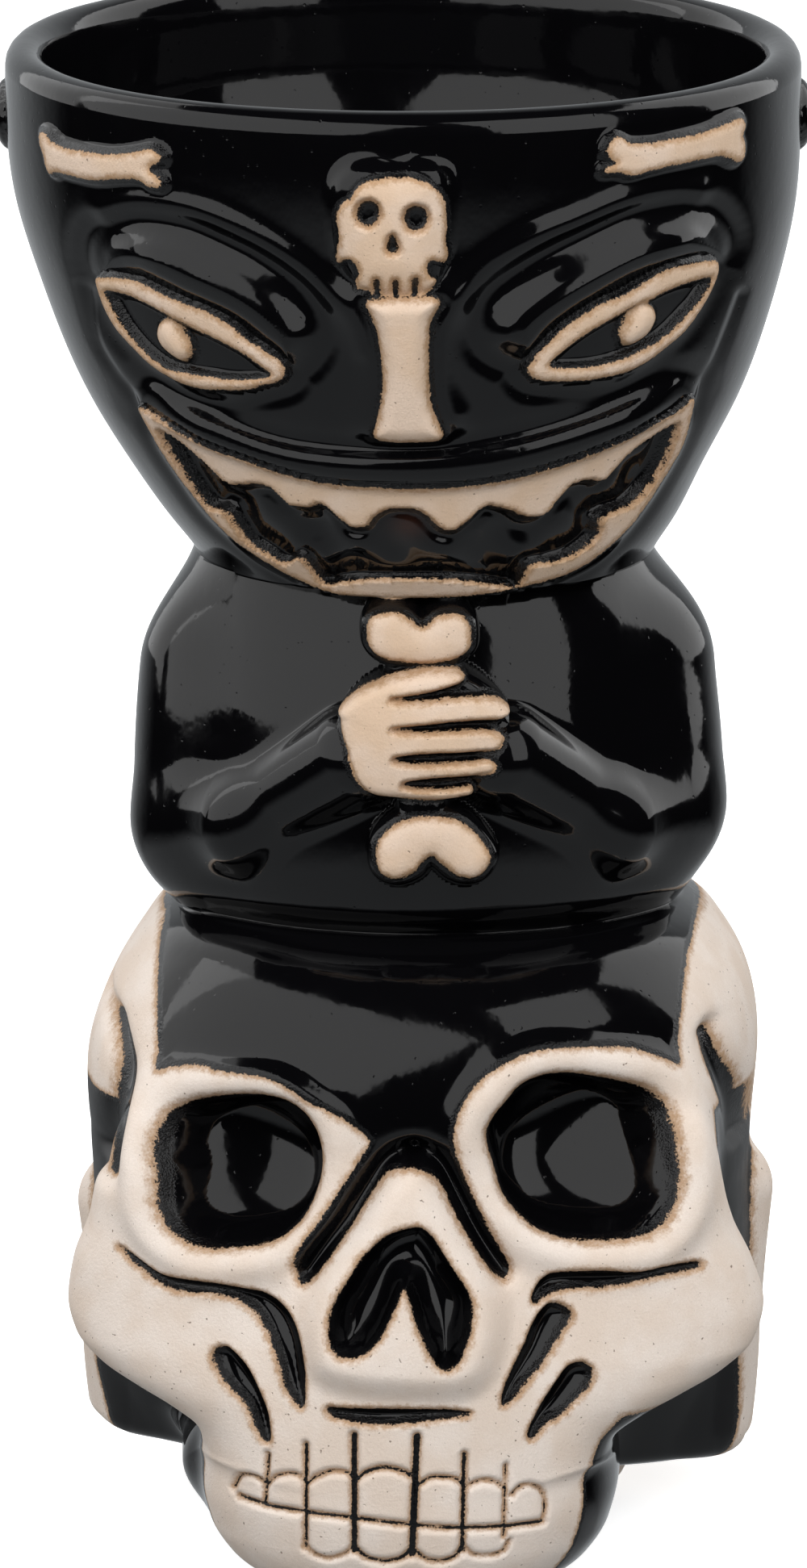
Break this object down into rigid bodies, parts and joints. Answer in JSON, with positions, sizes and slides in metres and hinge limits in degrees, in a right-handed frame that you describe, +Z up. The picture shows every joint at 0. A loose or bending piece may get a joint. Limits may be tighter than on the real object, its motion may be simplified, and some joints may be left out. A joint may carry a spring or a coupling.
{
  "type": "tiki mug",
  "caption": "Tall hollow stoneware mug: a grinning idol head as the cup, on a torso holding a bone, on a skull that is the foot.",
  "frame": {"origin": "on the flat foot, below the middle of the cup's rim from front to back", "axes": "+Z up through the rim, -Y out of the front where all the faces are, +X to the right seen from the front"},
  "size_m": [0.0996, 0.0989, 0.185],
  "materials": {
    "black_glaze": "gloss",
    "bare_clay": "matte, unglazed"
  },
  "bodies": {
    "root": {"head_cup": "black_glaze", "ear_left": "black_glaze", "ear_right": "black_glaze", "brow_left": "black_glaze", "brow_right": "black_glaze", "upper_lid_left": "black_glaze", "upper_lid_right": "black_glaze", "upper_lip": "black_glaze", "torso": "black_glaze", "arm_left": "black_glaze", "arm_right": "black_glaze", "forehead_bone_left": "bare_clay", "forehead_bone_right": "bare_clay", "forehead_skull": "bare_clay", "nose_bone": "bare_clay", "eye_rim_left": "bare_clay", "eye_rim_right": "bare_clay", "pupil_left": "bare_clay", "pupil_right": "bare_clay", "upper_teeth": "bare_clay", "lower_teeth": "bare_clay", "hand": "bare_clay", "bone_staff": "bare_clay", "skull": "bare_clay", "muzzle": "bare_clay", "jaw": "bare_clay", "nose_ridge": "bare_clay", "cheekbone_left": "bare_clay", "cheekbone_right": "bare_clay", "socket_rim_left": "bare_clay", "socket_rim_right": "bare_clay", "skull_upper_teeth": "bare_clay", "skull_lower_teeth": "bare_clay"}
  },
  "joints": []
}
